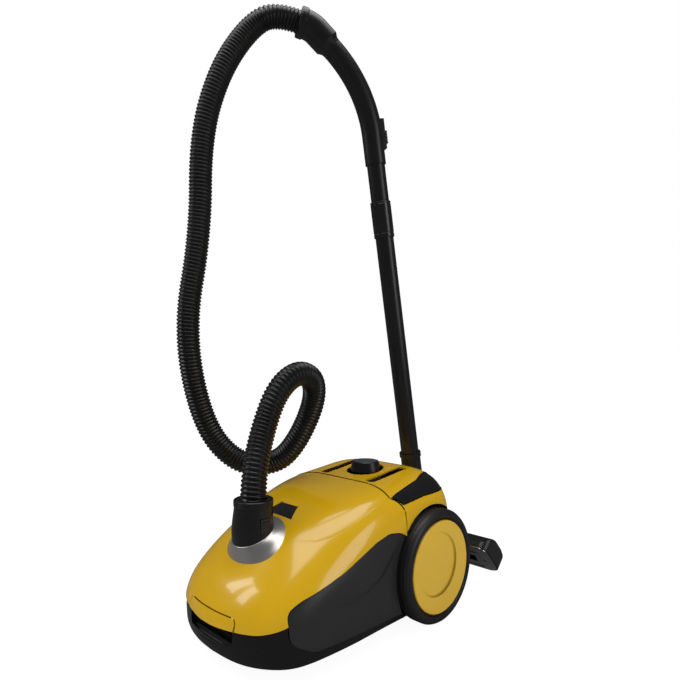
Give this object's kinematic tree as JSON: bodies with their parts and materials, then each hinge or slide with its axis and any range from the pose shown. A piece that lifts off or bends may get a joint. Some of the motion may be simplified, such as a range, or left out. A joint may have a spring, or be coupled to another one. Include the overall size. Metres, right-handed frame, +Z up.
{
  "type": "sledge vacuum cleaner",
  "caption": "Wheeled sledge vacuum cleaner with hinged front cover, ribbed hose, bent grip, wand parked upright behind the body and pivoting floor nozzle.",
  "frame": {"origin": "on the floor, under the middle of the whole object's box without the hose", "axes": "+Z up, -Y towards the nose of the body, +X towards its right wheel"},
  "size_m": [0.3463, 0.5206, 1.0005],
  "materials": {
    "base_tub": "fine grain",
    "rear_deck": "gloss",
    "side_panel_right": "satin",
    "side_panel_left": "satin",
    "deck_grille_right": "satin",
    "deck_grille_left": "satin",
    "rear_grille": "satin",
    "hinge_guides": "satin",
    "bag_holder": "satin",
    "inlet_seal": "matte",
    "dust_bag": "paper",
    "motor_filter": "fleece",
    "motor_seal": "matte",
    "fan_cover": "bright",
    "motor_housing": "satin",
    "motor_cradle": "matte",
    "exhaust_filter": "fleece",
    "speed_control": "satin",
    "wheel_axles": "satin",
    "reel_pin": "satin",
    "cord_outlet": "matte",
    "park_bracket": "satin",
    "hose_rise": "satin",
    "front_cover": "gloss",
    "inlet_cone": "satin silver",
    "bag_indicator": "gloss",
    "hinge_arms": "satin",
    "hose_connector": "satin",
    "hose_loop": "satin",
    "cover_latch": "gloss",
    "hose_cuff": "satin",
    "connector_button_right": "satin",
    "connector_button_left": "satin",
    "tyre_right": "matte",
    "wheel_hub_right": "satin",
    "wheel_cap_right": "gloss",
    "tyre_left": "matte",
    "wheel_hub_left": "satin",
    "wheel_cap_left": "gloss",
    "caster_fork": "satin",
    "caster_pin": "satin",
    "caster_roller": "matte",
    "suction_dial": "satin",
    "power_switch": "satin",
    "rewind_switch": "satin",
    "fan_rotor": "bright",
    "cord_reel": "satin",
    "neck_elbow": "satin",
    "wand_tube": "satin",
    "wand_socket": "satin",
    "hand_grip": "satin",
    "hose_top": "satin",
    "air_slider": "satin",
    "hose_collar": "satin",
    "nozzle_shell": "satin",
    "sole_plate": "brushed",
    "nozzle_pin": "satin",
    "bristle_strips": "bristle",
    "brush_pedal": "satin",
    "nozzle_rollers": "matte"
  },
  "bodies": {
    "base": {"base_tub": "base_tub", "rear_deck": "rear_deck", "side_panel_right": "side_panel_right", "side_panel_left": "side_panel_left", "deck_grille_right": "deck_grille_right", "deck_grille_left": "deck_grille_left", "rear_grille": "rear_grille", "hinge_guides": "hinge_guides", "bag_holder": "bag_holder", "inlet_seal": "inlet_seal", "dust_bag": "dust_bag", "motor_filter": "motor_filter", "motor_seal": "motor_seal", "fan_cover": "fan_cover", "motor_housing": "motor_housing", "motor_cradle": "motor_cradle", "exhaust_filter": "exhaust_filter", "speed_control": "speed_control", "wheel_axles": "wheel_axles", "reel_pin": "reel_pin", "cord_outlet": "cord_outlet", "park_bracket": "park_bracket", "hose_rise": "hose_rise"},
    "cover": {"front_cover": "front_cover", "inlet_cone": "inlet_cone", "bag_indicator": "bag_indicator", "hinge_arms": "hinge_arms", "hose_connector": "hose_connector", "hose_loop": "hose_loop"},
    "latch": {"cover_latch": "cover_latch"},
    "cuff": {"hose_cuff": "hose_cuff"},
    "button_right": {"connector_button_right": "connector_button_right"},
    "button_left": {"connector_button_left": "connector_button_left"},
    "wheel_right": {"tyre_right": "tyre_right", "wheel_hub_right": "wheel_hub_right", "wheel_cap_right": "wheel_cap_right"},
    "wheel_left": {"tyre_left": "tyre_left", "wheel_hub_left": "wheel_hub_left", "wheel_cap_left": "wheel_cap_left"},
    "caster": {"caster_fork": "caster_fork", "caster_pin": "caster_pin"},
    "caster_wheel": {"caster_roller": "caster_roller"},
    "dial": {"suction_dial": "suction_dial"},
    "power": {"power_switch": "power_switch"},
    "rewind": {"rewind_switch": "rewind_switch"},
    "fan": {"fan_rotor": "fan_rotor"},
    "reel": {"cord_reel": "cord_reel"},
    "wand": {"neck_elbow": "neck_elbow", "wand_tube": "wand_tube", "wand_socket": "wand_socket", "hand_grip": "hand_grip", "hose_top": "hose_top"},
    "slider": {"air_slider": "air_slider"},
    "collar": {"hose_collar": "hose_collar"},
    "nozzle": {"nozzle_shell": "nozzle_shell", "sole_plate": "sole_plate", "nozzle_pin": "nozzle_pin"},
    "bristles": {"bristle_strips": "bristle_strips"},
    "pedal": {"brush_pedal": "brush_pedal"},
    "rollers": {"nozzle_rollers": "nozzle_rollers"}
  },
  "joints": [
    {"name": "cover_hinge", "type": "hinge", "parent": "base", "child": "cover", "pos_m": [0, 0.03874, 0.2106], "axis": [1, 0, 0], "range_deg": [-45, 0], "deforming": ["hose_loop", "hose_rise"]},
    {"name": "latch_pull", "type": "hinge", "parent": "cover", "child": "latch", "pos_m": [0, -0.25826, 0.0745], "axis": [1, 0, 0], "range_deg": [-12, 0], "stiffness_Nm_per_rad": 0.2, "springref_deg": 5.73},
    {"name": "cuff_swivel", "type": "hinge", "parent": "cover", "child": "cuff", "pos_m": [0, -0.18626, 0.199], "axis": [0, 0, 1], "continuous": true},
    {"name": "button_right_press", "type": "slide", "parent": "cover", "child": "button_right", "axis": [-1, 0, 0], "range_m": [0, 0.0025], "stiffness_N_per_m": 800, "springref_m": -0.002},
    {"name": "button_left_press", "type": "slide", "parent": "cover", "child": "button_left", "axis": [1, 0, 0], "range_m": [0, 0.0025], "stiffness_N_per_m": 800, "springref_m": -0.002},
    {"name": "wheel_right_roll", "type": "hinge", "parent": "base", "child": "wheel_right", "pos_m": [0.128, 0.06574, 0.086], "axis": [1, 0, 0], "continuous": true},
    {"name": "wheel_left_roll", "type": "hinge", "parent": "base", "child": "wheel_left", "pos_m": [-0.128, 0.06574, 0.086], "axis": [1, 0, 0], "continuous": true},
    {"name": "caster_swivel", "type": "hinge", "parent": "base", "child": "caster", "pos_m": [0, -0.19626, 0.044], "axis": [0, 0, 1], "continuous": true},
    {"name": "caster_roll", "type": "hinge", "parent": "caster", "child": "caster_wheel", "pos_m": [0, -0.18726, 0.013], "axis": [1, 0, 0], "continuous": true},
    {"name": "dial_turn", "type": "hinge", "parent": "base", "child": "dial", "pos_m": [0, 0.04774, 0.2146], "axis": [0, 0, 1], "range_deg": [0, 270]},
    {"name": "power_press", "type": "hinge", "parent": "base", "child": "power", "pos_m": [0.115, -0.00326, 0.192], "axis": [1, 0, 0], "range_deg": [-1.6, 0], "stiffness_Nm_per_rad": 3, "springref_deg": 2.86},
    {"name": "rewind_press", "type": "hinge", "parent": "base", "child": "rewind", "pos_m": [-0.115, -0.00326, 0.192], "axis": [1, 0, 0], "range_deg": [-1.6, 0], "stiffness_Nm_per_rad": 3, "springref_deg": 2.86},
    {"name": "fan_spin", "type": "hinge", "parent": "base", "child": "fan", "pos_m": [-0.042, 0.00874, 0.092], "axis": [0, 1, 0], "continuous": true},
    {"name": "reel_spin", "type": "hinge", "parent": "base", "child": "reel", "pos_m": [0.049, 0.05674, 0.092], "axis": [1, 0, 0], "continuous": true},
    {"name": "wand_lift", "type": "slide", "parent": "base", "child": "wand", "axis": [0, 0, 1], "range_m": [0, 0.06], "deforming": ["hose_top"]},
    {"name": "air_slide", "type": "slide", "parent": "wand", "child": "slider", "axis": [0, -0.1788, 0.9839], "range_m": [-0.006, 0.012]},
    {"name": "collar_swivel", "type": "hinge", "parent": "wand", "child": "collar", "pos_m": [-0.04839, -0.04841, 0.9732], "axis": [-0.4693, -0.8538, 0.2256], "continuous": true},
    {"name": "nozzle_pivot", "type": "hinge", "parent": "wand", "child": "nozzle", "pos_m": [0, 0.19429, 0.09889], "axis": [1, 0, 0], "range_deg": [0, 60]},
    {"name": "pedal_rock", "type": "hinge", "parent": "nozzle", "child": "pedal", "pos_m": [0, 0.24262, 0.07188], "axis": [1, 0, 0], "range_deg": [0, 8]},
    {"name": "bristle_drop", "type": "slide", "parent": "nozzle", "child": "bristles", "axis": [0, -0.7193, -0.6947], "range_m": [0, 0.005]},
    {"name": "roller_roll", "type": "hinge", "parent": "nozzle", "child": "rollers", "pos_m": [0, 0.20593, 0.07677], "axis": [1, 0, 0], "continuous": true}
  ],
  "couplings": [
    {"joint": "pedal_rock", "follows": "bristle_drop", "rad_per_m": 27.925}
  ]
}
